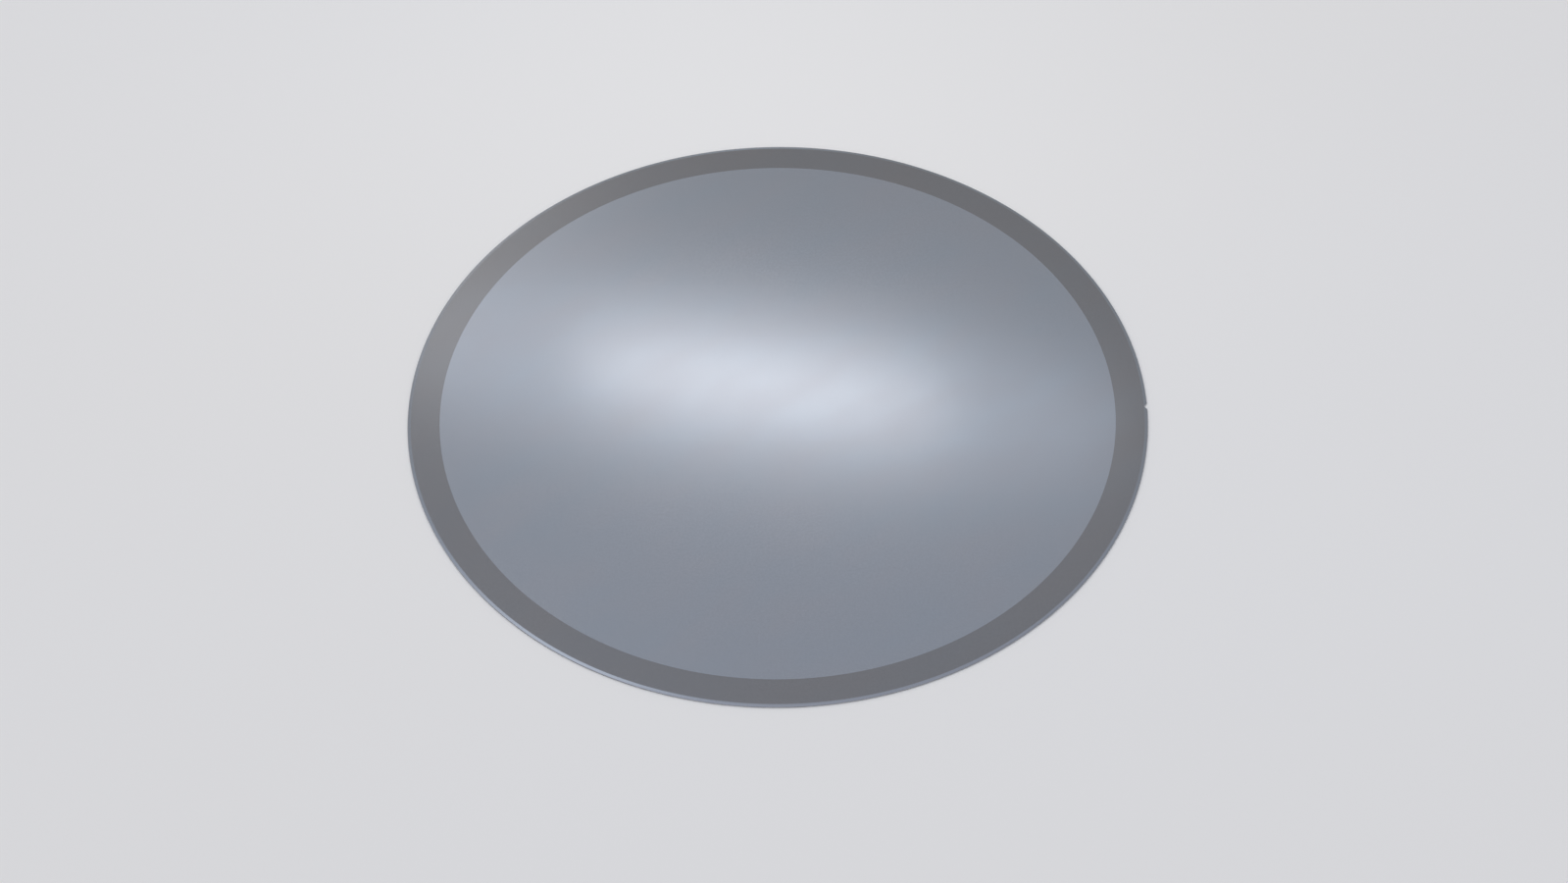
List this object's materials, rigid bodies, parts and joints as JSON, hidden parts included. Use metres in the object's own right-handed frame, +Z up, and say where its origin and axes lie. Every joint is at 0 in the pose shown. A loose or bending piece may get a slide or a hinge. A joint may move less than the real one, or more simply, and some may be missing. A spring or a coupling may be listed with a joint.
{
  "type": "silicon wafer",
  "caption": "Thin round slice of silicon crystal with a film on its front that stops short of the rim, a bevelled and rounded edge and a small orientation notch.",
  "frame": {"origin": "centre of the back face, which lies on the surface below", "axes": "+Z up through the slice's thickness to the film side, +X from the centre to the orientation notch"},
  "size_m": [0.3, 0.3, 0.0008],
  "materials": {
    "silicon": "satin"
  },
  "bodies": {
    "root": {"wafer": "silicon"}
  },
  "joints": []
}
